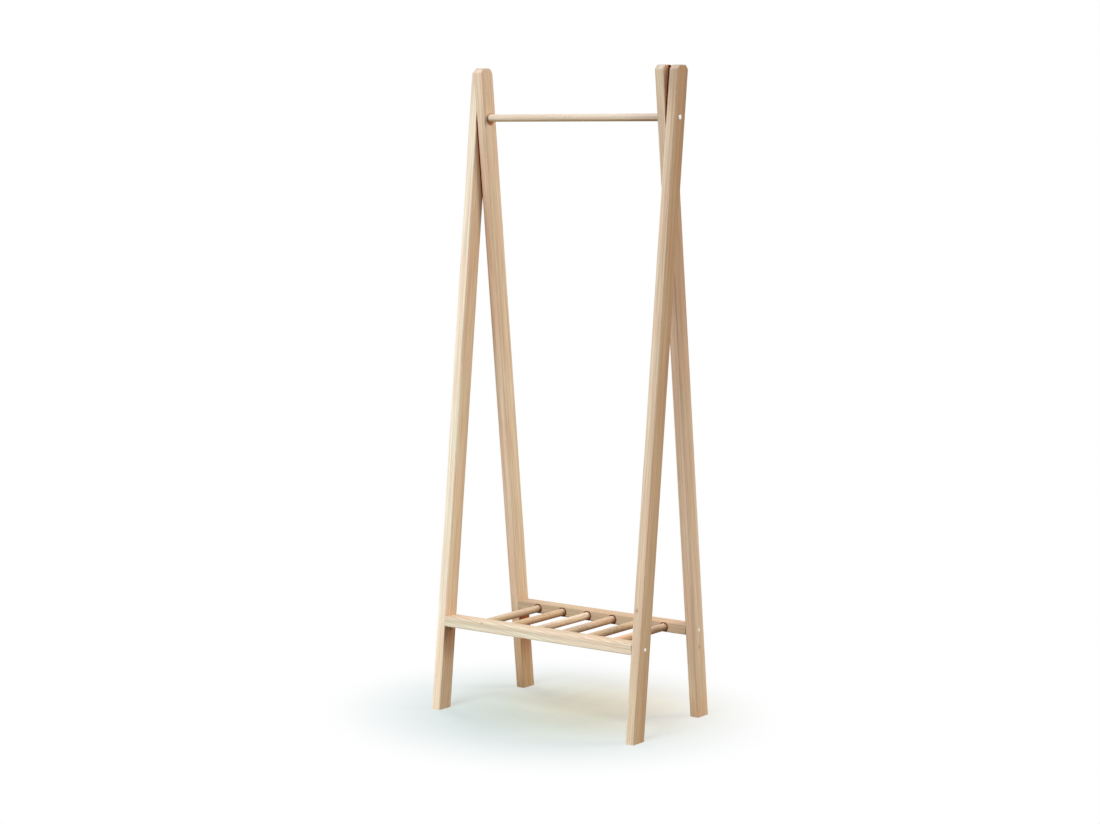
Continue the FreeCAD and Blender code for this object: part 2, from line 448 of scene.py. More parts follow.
def rod_joint_shade_effect() -> Effect:
    """The dark joint line and painted contact shade round rods that go into a piece, in a row along it.

    The place along the row, taken modulo the pitch, and the place across it give the distance from the
    nearest rod's axis. The mask falls from the rod's surface to nothing at the reach, stops past the row's
    ends, and lies on the face where the dot product with Face comes to 1.

    Returns:
        The group, which puts out the mask.
    """
    inputs: dict[str, Value] = {
        "Across": (0.0, 0.0, 1.0),
        "Face": (0.0, 1.0, 0.0),
        "Pitch": 0.1,
        "Shift": 0.0,
        "Row": 1.0,
        "Radius": 0.01,
        "Reach": 0.002,
    }
    effect = Effect("rod_joint", inputs, {"Mask": "NodeSocketFloat"})
    g, given = effect.graph, effect.given
    along = g.parts(given["Vector"])[0]
    step = g.math("FLOORED_MODULO", g.math("ADD", along, given["Shift"]), given["Pitch"])
    from_axis = g.math("SUBTRACT", step, g.math("MULTIPLY", given["Pitch"], 0.5))
    beside = g.length(g.vector("MULTIPLY", given["Vector"], given["Across"]))
    away = g.math("SUBTRACT", g.length(g.joined(from_axis, beside)), given["Radius"])
    line = g.step(away, given["Reach"], g.math("MULTIPLY", given["Reach"], LINE_CORE))
    in_row = g.math("LESS_THAN", g.math("ABSOLUTE", along), given["Row"])
    on_face = g.step(g.dot(given["Vector"], given["Face"]), *ON_FACE)
    effect.put_out(Mask=g.math("MULTIPLY", g.math("MULTIPLY", line, in_row), on_face))
    return effect


def lap_shade_effect() -> Effect:
    """Painted shade in the corner beside a batten that lies across a piece's face.

    The distance from the other batten's edge, measured along the slope across it, gives the mask, on one
    face only.

    Returns:
        The group, which puts out the mask.
    """
    inputs: dict[str, Value] = {
        "Slope": (0.0, 1.0, 0.0),
        "Half Width": 0.02,
        "Reach": 0.014,
        "Face": 1.0,
        "Half Thickness": 0.01,
    }
    effect = Effect("lap_joint", inputs, {"Mask": "NodeSocketFloat"})
    g, given = effect.graph, effect.given
    across = g.math("ABSOLUTE", g.dot(given["Vector"], given["Slope"]))
    away = g.math("SUBTRACT", across, given["Half Width"])
    height = g.math("MULTIPLY", g.parts(given["Vector"])[2], given["Face"])
    on_face = g.step(g.math("SUBTRACT", given["Half Thickness"], height), *LAPPED_DEPTH)
    effect.put_out(Mask=g.math("MULTIPLY", g.step(away, given["Reach"], 0.0), on_face))
    return effect


def overhang_effect() -> Effect:
    """The shade that lies along one face of a piece, such as below another piece that stands over it.

    The mask is full at a level along the piece. It starts within the onset above that and falls to nothing
    within the reach below it, on the face where the dot product with Face comes to 1.

    Returns:
        The group, which puts out the mask.
    """
    inputs: dict[str, Value] = {
        "Face": (0.0, 0.0, 1.0),
        "Level": -1.0,
        "Onset": 0.002,
        "Reach": 0.05,
    }
    effect = Effect("overhang", inputs, {"Mask": "NodeSocketFloat"})
    g, given = effect.graph, effect.given
    below = g.math("SUBTRACT", given["Level"], g.parts(given["Vector"])[0])
    above = g.math("MULTIPLY", given["Onset"], -1.0)
    shade = g.math("MULTIPLY", g.step(below, given["Reach"], 0.0), g.step(below, above, 0.0))
    on_face = g.step(g.dot(given["Vector"], given["Face"]), *ON_FACE)
    effect.put_out(Mask=g.math("MULTIPLY", shade, on_face))
    return effect


def mottle_effect() -> Effect:
    """Fine unevenness of a moulded or plated skin: two sizes of cloudy noise added up.

    Returns:
        The group, which puts out a value from 0 to 1 and a height.
    """
    effect = Effect("mottle", {"Grain": 1500.0}, {"Value": "NodeSocketFloat", "Height": "NodeSocketFloat"})
    g, given = effect.graph, effect.given
    grain = given["Grain"]
    fine_scale = g.joined(grain, grain, grain)
    fine = g.noise(g.vector("MULTIPLY", given["Vector"], fine_scale), detail=2.0).outputs[0]
    broad = g.noise(g.vector("MULTIPLY", given["Vector"], BROAD_MOTTLE), detail=2.0).outputs[0]
    effect.put_out(Value=g.step(g.math("ADD", fine, broad), *MOTTLE_EDGE), Height=fine)
    return effect


@dataclass(frozen=True)
class Effects:
    """The shared node groups."""

    timber: Effect = field(default_factory=timber_effect)
    pin_knot: Effect = field(default_factory=pin_knot_effect)
    sanded_edge: Effect = field(default_factory=sanded_edge_effect)
    rod_joint: Effect = field(default_factory=rod_joint_shade_effect)
    lap_joint: Effect = field(default_factory=lap_shade_effect)
    overhang: Effect = field(default_factory=overhang_effect)
    mottle: Effect = field(default_factory=mottle_effect)


def label(name: str) -> str:
    """The name of a group's socket for a field."""
    return name.replace("_", " ").title()


@dataclass(frozen=True)
class Lie:
    """How a piece lies in the rack: the origin and two directions of its own axes."""

    origin: Vector
    along: Vector
    across: Vector

    def to_own(self) -> Matrix:
        """Turn to the piece's own axes: along the grain, across its depth and across its thickness."""
        return Matrix((self.along, self.across, self.along.cross(self.across)))


@dataclass(frozen=True)
class Knot:
    """A pin knot, by its place in the piece's own axes, its radius and how dark it is."""

    place: Triple
    radius: float
    darkness: float


class JointShade:
    """Painted shade where another piece meets a piece or shades it: a node group, its values and a brown."""

    effect: ClassVar[str]
    brown: Rgb

    def mask(self, g: Graph, place: Socket, effects: Effects) -> Socket:
        """Mask of the painted shade, from the group and its own fields."""
        values = {label(part.name): getattr(self, part.name) for part in fields(self) if part.name != "brown"}
        return getattr(effects, self.effect).place(g, {"Vector": place, **values}).outputs["Mask"]


@dataclass(frozen=True)
class RodJointShade(JointShade):
    """Painted shade round rods let into a piece, at odd halves of the pitch from its middle less the shift.
    """

    effect: ClassVar[str] = "rod_joint"
    across: Triple
    face: Triple
    pitch: float
    row: float
    shift: float = 0.0
    radius: float = 9.0 * MM
    reach: float = 5.0 * MM
    brown: Rgb = (0.26, 0.08, 0.05)


@dataclass(frozen=True)
class LapShade(JointShade):
    """Painted shade beside a batten across a face, by the slope across that batten and the face's side."""

    effect: ClassVar[str] = "lap_joint"
    slope: Triple
    face: float
    half_width: float = 22.5 * MM
    half_thickness: float = 12.0 * MM
    reach: float = 16.0 * MM
    brown: Rgb = (0.95, 0.60, 0.40)


class Fall(NamedTuple):
    """How shade comes and goes along a piece: full at a level, from the onset above to the reach below."""

    level: float
    onset: float
    reach: float


@dataclass(frozen=True)
class Overhang(JointShade):
    """Shade along one face of a piece, such as below a rail's end."""

    effect: ClassVar[str] = "overhang"
    face: Triple
    brown: Rgb
    level: float
    onset: float
    reach: float


@dataclass(frozen=True)
class Tone:
    """The colours of one length of wood: a mean, and how its parts differ from that."""

    mean: Rgb
    pale_share: Triple = (1.10, 1.15, 1.17)
    blush_share: Triple = (1.11, 1.06, 1.07)
    deep_share: Triple = (0.74, 0.65, 0.56)

    def shade(self, share: Triple) -> tuple[float, float, float, float]:
        """The mean colour times a share of each channel, as a shader's colour."""
        red, green, blue = (channel * part for channel, part in zip(self.mean, share))
        return red, green, blue, 1.0


def emptied(holder: bpy.types.Material | bpy.types.World) -> Graph:
    """Turn on the nodes of a material or a world and empty its tree.

    Args:
        holder: The material or world.

    Returns:
        Its tree.
    """
    holder.use_nodes = True
    holder.node_tree.nodes.clear()
    return Graph(holder.node_tree)


def add_object(name: str, data: bpy.types.ID) -> bpy.types.Object:
    """Put a mesh, a lamp or a camera into the scene.

    Args:
        name: The object's name.
        data: The mesh, lamp or camera.

    Returns:
        The object.
    """
    item = bpy.data.objects.new(name, data)
    bpy.context.scene.collection.objects.link(item)
    return item


def new_material(name: str) -> tuple[bpy.types.Material, Graph, bpy.types.bpy_prop_collection]:
    """Make a material with one Principled shader.

    Args:
        name: The material's name.

    Returns:
        The material, its node tree, and the shader's inputs.
    """
    material = bpy.data.materials.new(name)
    g = emptied(material)
    shader = g.add("BsdfPrincipled", {})
    g.add("OutputMaterial", {"Surface": shader.outputs[0]})
    return material, g, shader.inputs


@dataclass(frozen=True)
class Timber:
    """The finish of a piece of wood: tone, how it was cut from its tree, and painted light and shade."""

    tone: Tone
    heart: tuple[float, float]
    ring_width: float
    seed: float
    taper: float = 0.004
    rings: float = 0.62
    bands: float = 0.42
    streaks: float = 0.45
    pores: float = 0.35
    flecks: float = 0.0
    # Painted light and shade: slopes of tone across and along the piece, the foot, the front faces and a
    # rod's underside
    sap: tuple[float, float] = (0.0, 0.0)
    sap_along: float = 0.0
    foot: Triple = (1.0, 1.0, 1.0)
    front_tint: Rgb = (1.0, 1.0, 1.0)
    under_tint: Rgb = (0.62, 0.38, 0.28)
    knots: tuple[Knot, ...] = ()

    def material(
        self,
        name: str,
        lie: Lie,
        effects: Effects,
        half_section: tuple[float, float] | None = None,
        joints: tuple[JointShade, ...] = (),
    ) -> bpy.types.Material:
        """Make the material of one piece.

        Args:
            name: The piece's name.
            lie: How the piece lies.
            effects: The shared node groups.
            half_section: Half of a batten's depth and thickness, or None for a rod, which has no edges.
            joints: Where other pieces meet this one or shade it.

        Returns:
            The material.
        """
        material, g, shader = new_material(f"{name}_wood")
        coordinates = g.add("TexCoord", {}).outputs
        turn = lie.to_own()
        place = g.add("Mapping", {
            "Vector": coordinates["Object"],
            "Location": -(turn @ lie.origin),
            "Rotation": turn.to_euler(),
        }).outputs[0]
        facing = g.add(
            "Mapping", {"Vector": coordinates["Normal"], "Rotation": turn.to_euler()}, vector_type="VECTOR"
        ).outputs[0]
        facing_along, facing_across, facing_up = g.parts(facing)
        endwards = g.math("ABSOLUTE", facing_along)

        knots = [
            effects.pin_knot.place(g, {"Vector": place, "Centre": knot.place, "Radius": knot.radius}).outputs
            for knot in self.knots
        ]
        swirl: Value = 0.0
        for knot in knots:
            swirl = g.math("ADD", swirl, knot["Swirl"])
        wood = effects.timber.place(g, {
            "Vector": place,
            "End Grain": g.step(endwards, *END_GRAIN_TURN),
            "Swirl": swirl,
            "Heart": (0.0, *self.heart),
            "Sap": (self.sap_along, *self.sap),
            **{label(name): getattr(self, name) for name in PLAIN_VALUES},
            "Pale": self.tone.shade(self.tone.pale_share),
            "Blush": self.tone.shade(self.tone.blush_share),
            "Deep": self.tone.shade(self.tone.deep_share),
        }).outputs

        colour, roughness = wood["Colour"], wood["Roughness"]
        colour = g.tint(g.step(endwards, *CUT_TURN), colour, CUT_TINT)
        for knot, masks in zip(self.knots, knots):
            halo = g.math("MULTIPLY", masks["Halo"], HALO_DEPTH * knot.darkness)
            colour = g.mix(halo, colour, self.tone.shade(self.tone.deep_share))
            colour = g.mix(g.math("MULTIPLY", masks["Core"], knot.darkness), colour, (*KNOT_BROWN, 1.0))
        if half_section is None:
            # Painted shade on the underside of a rod
            colour = g.tint(g.step(facing_up, *UNDER_TURN), colour, self.under_tint)
        else:
            section = {"Vector": place, "Half Section": (0.0, *half_section)}
            edge = effects.sanded_edge.place(g, section).outputs["Mask"]
            # The rounded edges are painted a little darker
            colour = g.tint(edge, colour, EDGE_TINT)
            # Painted light and shade on the faces that look to the front
            colour = g.tint(g.step(facing_across, *FRONT_TURN), colour, self.front_tint)
            roughness = g.math("MULTIPLY_ADD", edge, -SKIN.edges_smoother, roughness)
        # Painted shade where other pieces meet this one or shade it, which also leaves it rougher
        for joint in joints:
            mask = joint.mask(g, place, effects)
            colour = g.tint(mask, colour, joint.brown)
            roughness = g.math("MULTIPLY_ADD", mask, SKIN.joints_rougher, roughness)
        relief = {"Height": wood["Height"], "Strength": SKIN.bump, "Distance": SKIN.relief}
        g.feed(shader["Base Color"], colour)
        g.feed(shader["Roughness"], roughness)
        g.feed(shader["Normal"], g.add("Bump", relief).outputs[0])
        shader["Specular IOR Level"].default_value = SKIN.gloss
        return material


@dataclass(frozen=True)
class MottledSkin:
    """A moulded or plated finish, faintly mottled between two colours and two roughnesses."""

    name: str
    first: Rgb
    second: Rgb
    roughness: Span
    grain: float
    metallic: float = 0.0
    bump: float = 0.0
    relief: float = 0.02 * MM
    coat: float = 0.0
    coat_roughness: float = 0.15

    def material(self, effects: Effects) -> bpy.types.Material:
        """Make the material.

        Args:
            effects: The shared node groups.

        Returns:
            The material.
        """
        material, g, shader = new_material(self.name)
        where = g.add("TexCoord", {}).outputs["Object"]
        skin = effects.mottle.place(g, {"Vector": where, "Grain": self.grain}).outputs
        relief = {"Height": skin["Height"], "Strength": self.bump, "Distance": self.relief}
        g.feed(shader["Base Color"], g.mix(skin["Value"], (*self.first, 1.0), (*self.second, 1.0)))
        g.feed(shader["Roughness"], g.step(skin["Value"], 0.0, 1.0, *self.roughness))
        g.feed(shader["Normal"], g.add("Bump", relief).outputs[0])
        shader["Metallic"].default_value = self.metallic
        shader["Coat Weight"].default_value = self.coat
        shader["Coat Roughness"].default_value = self.coat_roughness
        return material


# White satin plastic with the faint grain of its mould
CAP_PLASTIC = MottledSkin(
    "cap_white_plastic", first=(0.98, 0.98, 0.96), second=(0.95, 0.95, 0.93), roughness=(0.34, 0.46),
    grain=2600.0, bump=0.2, coat=0.6,
)

# Zinc-plated steel: grey metal, mottled cool and warm
ZINC_PLATE = MottledSkin(
    "screw_zinc_plate", first=(0.70, 0.72, 0.75), second=(0.66, 0.63, 0.55), roughness=(0.26, 0.42),
    grain=900.0, metallic=1.0,
)


def dress(name: str, material: bpy.types.Material) -> None:
    """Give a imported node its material."""
    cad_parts[name].material_slots[0].material = material
    LOG.info("%s keeps its solid, in %s", name, material.name)


def middle(name: str) -> Vector:
    """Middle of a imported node's box."""
    low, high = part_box(name)
    return (low + high) / 2


def shelf_rail_name(end: End) -> str:
    """Name of a packed shelf rail."""
    return f"{end.name}_shelf_rail".lower()


def full_turn(steps: int) -> np.ndarray:
    """Even angles, once round."""
    return np.arange(steps) * (2 * math.pi / steps)


def turned_piece(name: str, radius: np.ndarray, height: np.ndarray, place: Matrix) -> bpy.types.Object:
    """Make a closed turned surface, row by row from one pole to the other.

    A point of row i at angle a lies at radius[i, a] from the axis and height[i] along it. The two poles lie
    on the axis at the first and last heights.

    Args:
        name: The piece's name.
        radius: Rows by angles.
        height: One for each row, rising or falling.
        place: Where the surface's own axes go.

    Returns:
        The piece, at the origin, with its place in its mesh.
    """
    rows, steps = radius.shape
    angle = full_turn(steps)
    level = np.repeat(height[:, None], steps, 1)
    rings = np.stack([radius * np.cos(angle), radius * np.sin(angle), level], -1)
    poles = np.array([[0, 0, height[0]], [0, 0, height[-1]]])
    points = np.concatenate([rings.reshape(-1, 3), poles])
    points = points @ np.array(place.to_3x3()).T + np.array(place.translation)

    index = np.arange(rows * steps).reshape(rows, steps)
    beside = np.roll(index, -1, axis=1)
    walls = np.stack([index[:-1], beside[:-1], beside[1:], index[1:]], -1)
    first, last = np.full(steps, rows * steps), np.full(steps, rows * steps + 1)
    first_fan = np.stack([first, beside[0], index[0]], -1)
    last_fan = np.stack([last, index[-1], beside[-1]], -1)
    mesh = bpy.data.meshes.new(name)
    mesh.from_pydata(points, [], [*walls.reshape(-1, 4).tolist(), *first_fan.tolist(), *last_fan.tolist()])
    mesh.shade_smooth()
    mesh.set_sharp_from_angle(angle=CREASE_ANGLE)
    return add_object(name, mesh)


def hexagon(width: float, angle: np.ndarray) -> np.ndarray:
    """Radius of a hexagon by angle: half its width over the cosine from the nearest flat's middle."""
    from_flat = (angle + math.pi / 6) % (math.pi / 3) - math.pi / 6
    return width / 2 / np.cos(from_flat)


@dataclass(frozen=True)
class Fastener:
    """A connector screw and the cap over its head, made along +Z with the wood's face at z = 0."""

    head_radius: float
    head_height: float
    shank_radius: float
    core_radius: float
    thread_radius: float
    thread_pitch: float
    socket_width: float
    cap_radius: float
    head_rim: float = 0.8 * MM
    head_ease: float = 0.25 * MM
    thread_share: float = 0.42
    tip_radius: float = 1.0 * MM
    tip_length: float = 5.0 * MM
    socket_depth: float = 3.5 * MM
    cap_rim: float = 0.6 * MM
    cap_height: float = 1.5 * MM
    crown_share: float = 0.02
    peg_play: float = 0.1 * MM
    peg_length: float = 3.0 * MM
    steps: int = 60
    rows_in_turn: int = 14
    dome_rows: int = 14

    def place(self, node: str, side: Side) -> Matrix:
        """Turn +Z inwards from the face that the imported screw's head lies in.

        Args:
            node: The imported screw.
            side: The end of the rack that it is driven into.

        Returns:
            The fastener's place.
        """
        low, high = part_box(node)
        face_x = high.x if side is Side.RIGHT else low.x
        centre = middle(node)
        inwards = Matrix.Rotation(-side.value * math.pi / 2, 4, "Y")
        return Matrix.Translation((face_x, centre.y, centre.z)) @ inwards

    def screw(self, name: str, grip: float, length: float, place: Matrix) -> bpy.types.Object:
        """Make a threaded screw with a flat countersunk head and a hexagon socket.

        The radius runs from the socket's floor up its walls, over the head, and down the shank to the tip. In
        the threaded stretch a ridge, triangular across the thread, winds round the core once in each pitch
        and fades in and out at the stretch's ends.

        Args:
            name: The piece's name.
            grip: Length from the head's face to the start of the thread.
            length: Whole length.
            place: Where it goes.

        Returns:
            The screw.
        """
        angle = full_turn(self.steps)
        socket = hexagon(self.socket_width, angle)
        thread_rows = round((length - grip) / self.thread_pitch * self.rows_in_turn)
        z = np.linspace(grip, length, thread_rows)
        taper = np.interp(z, [length - self.tip_length, length], [self.core_radius, self.tip_radius])
        turns = (z[:, None] / self.thread_pitch - angle / (2 * math.pi)) % 1.0
        ridge = np.clip(1 - np.abs(turns - 0.5) / (self.thread_share / 2), 0, 1)
        fade = np.interp(z, [grip, grip + self.thread_pitch, length - self.tip_length, length], [0, 1, 1, 0])
        thread = taper[:, None] + ridge * ((self.thread_radius - self.core_radius) * fade)[:, None]
        turned = [
            (self.head_radius - self.head_ease, 0.0),
            (self.head_radius, self.head_ease),
            (self.head_radius, self.head_rim),
            (self.shank_radius, self.head_height),
            (self.shank_radius, grip - (self.shank_radius - self.core_radius)),
        ]
        upper = np.repeat(np.array([r for r, _ in turned])[:, None], self.steps, 1)
        radius = np.concatenate([socket[None], socket[None], upper, thread])
        height = np.concatenate([[self.socket_depth, 0.0], [h for _, h in turned], z])
        return turned_piece(name, radius, height, place)

    def cap(self, name: str, place: Matrix) -> bpy.types.Object:
        """Make a domed cap with a hexagon peg.

        The radius runs from the peg's end to its root, out under the cap to its rim, and over the dome, a
        quarter of an ellipse: cap_radius times the cosine against a rise that goes with the sine.

        Args:
            name: The piece's name.
            place: Where it goes.

        Returns:
            The cap.
        """
        angle = full_turn(self.steps)
        peg = hexagon(self.socket_width - self.peg_play, angle)
        sweep = np.linspace(0, math.pi / 2, self.dome_rows, endpoint=False)
        dome_radius = self.cap_radius * np.cos(sweep)
        dome_height = -self.cap_rim - (self.cap_height - self.cap_rim) * np.sin(sweep)
        turned_radius = np.concatenate([[self.cap_radius], dome_radius, [self.crown_share * self.cap_radius]])
        radius = np.concatenate([peg[None], peg[None], np.repeat(turned_radius[:, None], self.steps, 1)])
        height = np.concatenate([[self.peg_length, 0.0, 0.0], dome_height, [-self.cap_height]])
        return turned_piece(name, radius[::-1], height[::-1], place)

    def build(
        self,
        corner: str,
        side: Side,
        grip: float,
        steel: bpy.types.Material,
        plastic: bpy.types.Material,
    ) -> None:
        """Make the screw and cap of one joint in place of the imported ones.

        Args:
            corner: The joint's name.
            side: The end of the rack that it is on.
            grip: Thickness of the wood that the shank passes through.
            steel: The screw's finish.
            plastic: The cap's finish.
        """
        screw_node, cap_node = f"{corner}_screw", f"{corner}_cap"
        low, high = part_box(screw_node)
        place = self.place(screw_node, side)
        screw = self.screw(f"{corner}_threaded_screw", grip, high.x - low.x, place)
        cap = self.cap(f"{corner}_domed_cap", place)
        for piece, node, slot, material in (
            (screw, screw_node, "screw_steel", steel),
            (cap, cap_node, "cap_plastic", plastic),
        ):
            piece.data.materials.append(material)
            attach(piece, BODY)
            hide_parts(node)
            LOG.info("%s stands for %s, with %d faces", piece.name, node, len(piece.data.polygons))


CROSSING_FASTENER = Fastener(
    head_radius=5.0 * MM,
    head_height=4.5 * MM,
    shank_radius=3.5 * MM,
    core_radius=2.5 * MM,
    thread_radius=3.4 * MM,
    thread_pitch=3.0 * MM,
    socket_width=4.0 * MM,
    cap_radius=5.75 * MM,
)
SHELF_FASTENER = Fastener(
    head_radius=3.5 * MM,
    head_height=3.2 * MM,
    shank_radius=2.5 * MM,
    core_radius=1.75 * MM,
    thread_radius=2.4 * MM,
    thread_pitch=2.2 * MM,
    socket_width=3.0 * MM,
    cap_radius=4.25 * MM,
)


@dataclass(frozen=True)
class LegShade:
    """Shade on a front or a rear leg, below its shelf rail, below the crossing and at its tip."""

    under_rail: Rgb
    under_rail_reach: float
    under_crossing: Rgb
    tip: Rgb
    tip_fall: Fall


LEG_SHADE = {
    End.FRONT: LegShade(
        under_rail=(0.55, 0.38, 0.32),
        under_rail_reach=0.13,
        under_crossing=(0.93, 0.90, 0.89),
        tip=(0.85, 0.87, 0.87),
        tip_fall=Fall(level=0.12, onset=0.02, reach=0.16),
    ),
    End.REAR: LegShade(
        under_rail=(0.53, 0.15, 0.06),
        under_rail_reach=0.17,
        under_crossing=(0.82, 0.77, 0.76),
        tip=(0.87, 0.92, 0.92),
        tip_fall=Fall(level=-0.05, onset=0.30, reach=0.12),
    ),
}


@dataclass(frozen=True)
class EndFrame:
    """One end of the rack: a front leg outside and a rear leg inside, crossed at the hanging rail."""

    side: Side
    front: Timber
    rear: Timber
    # Painted shade on the rear leg's front face below the crossing
    behind_crossing: Rgb
    leg_depth: float = 45.0 * MM
    leg_thickness: float = 24.0 * MM
    crossing_fall: Fall = Fall(level=-0.25, onset=0.25, reach=0.74)
    # Painted shade in the corner beside the other leg: a dark line at its edge, and a wider one on the rear
    # leg
    seam: Rgb = (0.30, 0.06, 0.02)
    seam_reach: float = 5.0 * MM
    rear_lap: Rgb = (1.02, 0.90, 0.83)
    rear_lap_reach: float = 26.0 * MM
    rail_onset: float = 2.0 * MM
    # Painted shade round the hanging rail's end on the rear leg, set a little below the rail's axis
    rail_line: Rgb = (0.50, 0.24, 0.15)
    rail_line_reach: float = 8.0 * MM
    rail_line_drop: float = 3.5 * MM
    rail_line_row: float = 100.0 * MM

    def leg_name(self, end: End) -> str:
        """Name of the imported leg."""
        return f"{end.name}_{self.side.name}_leg".lower()

    def lie(self, end: End) -> Lie:
        """How a leg lies: upwards from its shelf rail's middle, through the hanging rail's.

        Args:
            end: Front or rear leg.

        Returns:
            Its lie, with the origin where the legs cross.
        """
        rail, shelf = middle("hanging_rail"), middle(shelf_rail_name(end))
        crossing = Vector((middle(self.leg_name(end)).x, rail.y, rail.z))
        along = Vector((0.0, rail.y - shelf.y, rail.z - shelf.z)).normalized()
        return Lie(crossing, along, Vector((0.0, along.z, -along.y)))

    def joints(self, end: End, lie: Lie) -> tuple[JointShade, ...]:
        """The painted shade that the other leg and the rails leave on a leg.

        Args:
            end: Front or rear leg.
            lie: How it lies.

        Returns:
            The painted shade where the other pieces meet it or shade it.
        """
        shade = LEG_SHADE[end]
        turn = -end.value * 2 * math.atan2(abs(lie.along.y), lie.along.z)
        slope = (math.sin(turn), math.cos(turn), 0.0)
        lapped = -end.value * self.side.value
        half_depth, half_thickness = self.leg_depth / 2, self.leg_thickness / 2
        front_face = (0.0, -1.0 / half_depth, 0.0)
        inner_face = (0.0, 0.0, self.side.value / half_thickness)
        lapped_face = (0.0, 0.0, lapped / half_thickness)
        rail_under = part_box(shelf_rail_name(end))[0].z
        rail_level = (rail_under - lie.origin.z) / lie.along.z
        joints: tuple[JointShade, ...] = (
            LapShade(slope, lapped),
            LapShade(slope, lapped, reach=self.seam_reach, brown=self.seam),
            Overhang(inner_face, shade.under_rail, rail_level, self.rail_onset, shade.under_rail_reach),
            Overhang(lapped_face, shade.under_crossing, *self.crossing_fall),
            Overhang(front_face, shade.tip, *shade.tip_fall),
        )
        if end is End.FRONT:
            return joints
        # Painted shade round the hanging rail's end on the inner face
        hanging_rail = RodJointShade(
            across=(0.0, 1.0, 0.0),
            face=inner_face,
            pitch=LONE_PITCH,
            shift=LONE_PITCH / 2 + self.rail_line_drop,
            row=self.rail_line_row,
            reach=self.rail_line_reach,
            brown=self.rail_line,
        )
        return (
            *joints,
            LapShade(slope, lapped, reach=self.rear_lap_reach, brown=self.rear_lap),
            Overhang(front_face, self.behind_crossing, *self.crossing_fall),
            hanging_rail,
        )

    def dress(self, effects: Effects) -> None:
        """Give both legs their wood.

        Args:
            effects: The shared node groups.
        """
        half_section = (self.leg_depth / 2, self.leg_thickness / 2)
        for end, timber in ((End.FRONT, self.front), (End.REAR, self.rear)):
            name, lie = self.leg_name(end), self.lie(end)
            dress(name, timber.material(name, lie, effects, half_section, self.joints(end, lie)))

    def build(self, steel: bpy.types.Material, plastic: bpy.types.Material) -> None:
        """Make the fasteners that go in from this end.

        Args:
            steel: The screws' finish.
            plastic: The caps' finish.
        """
        side = self.side.name.lower()
        CROSSING_FASTENER.build(f"{side}_crossing", self.side, 2 * self.leg_thickness, steel, plastic)
        for end in End:
            corner = f"{end.name}_{side}_shelf".lower()
            SHELF_FASTENER.build(corner, self.side, self.leg_thickness, steel, plastic)


@dataclass(frozen=True)
class HangingRail:
    """The round rail that hangers hook over, shaded towards its right end."""

    wood: Timber
    end_shade: Rgb = (0.76, 0.69, 0.68)
    shaded_from: float = 100.0 * MM
    shade_onset: float = 2.0 * MM
    shade_reach: float = 160.0 * MM

    def dress(self, effects: Effects) -> None:
        """Give the rail its wood.

        Args:
            effects: The shared node groups.
        """
        name = "hanging_rail"
        lie = Lie(middle(name), Vector((1, 0, 0)), Vector((0, 1, 0)))
        right_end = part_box(name)[1].x - lie.origin.x
        right_half = (1.0 / self.shaded_from, 0.0, 0.0)
        shade = Overhang(right_half, self.end_shade, right_end, self.shade_onset, self.shade_reach)
        dress(name, self.wood.material(name, lie, effects, joints=(shade,)))


@dataclass(frozen=True)
class LadderShelf:
    """The low shelf: two flat rails with round slats let into them."""

    front: Timber
    rear: Timber
    slats: tuple[Timber, ...]
    rail_depth: float = 45.0 * MM
    rail_thickness: float = 24.0 * MM
    slat_pitch: float = 76.0 * MM

    def dress(self, effects: Effects) -> None:
        """Give the rails and the slats their wood.

        Args:
            effects: The shared node groups.
        """
        half_section = (self.rail_depth / 2, self.rail_thickness / 2)
        row = self.slat_pitch * len(self.slats) / 2
        for end, timber in ((End.FRONT, self.front), (End.REAR, self.rear)):
            name = shelf_rail_name(end)
            lie = Lie(middle(name), Vector((1, 0, 0)), Vector((0, 1, 0)))
            inner_face = (0.0, -end.value / half_section[0], 0.0)
            # Painted shade round the slats' ends on the rail's inner face
            slats = RodJointShade(across=(0.0, 0.0, 1.0), face=inner_face, pitch=self.slat_pitch, row=row)
            dress(name, timber.material(name, lie, effects, half_section, (slats,)))
        for number, timber in enumerate(self.slats, 1):
            name = f"shelf_slat_{number}"
            lie = Lie(middle(name), Vector((0, 1, 0)), Vector((-1, 0, 0)))
            dress(name, timber.material(name, lie, effects))


@dataclass(frozen=True)
class SoftBox:
    """A square lamp with a soft face, aimed at a point."""

    name: str
    place: Triple
    side: float
    power: float
    colour: Rgb
    target: Triple = (0.0, 0.0, 0.8)
    glossy: bool = True

    def build(self) -> None:
        """Put the lamp into the scene."""
        lamp = bpy.data.lights.new(self.name, "AREA")
        lamp.shape = "SQUARE"
        lamp.size = self.side
        lamp.energy = self.power
        lamp.color = self.colour
        holder = add_object(self.name, lamp)
        holder.location = self.place
        holder.visible_glossy = self.glossy
        holder.rotation_euler = (Vector(self.target) - Vector(self.place)).to_track_quat("-Z", "Y").to_euler()


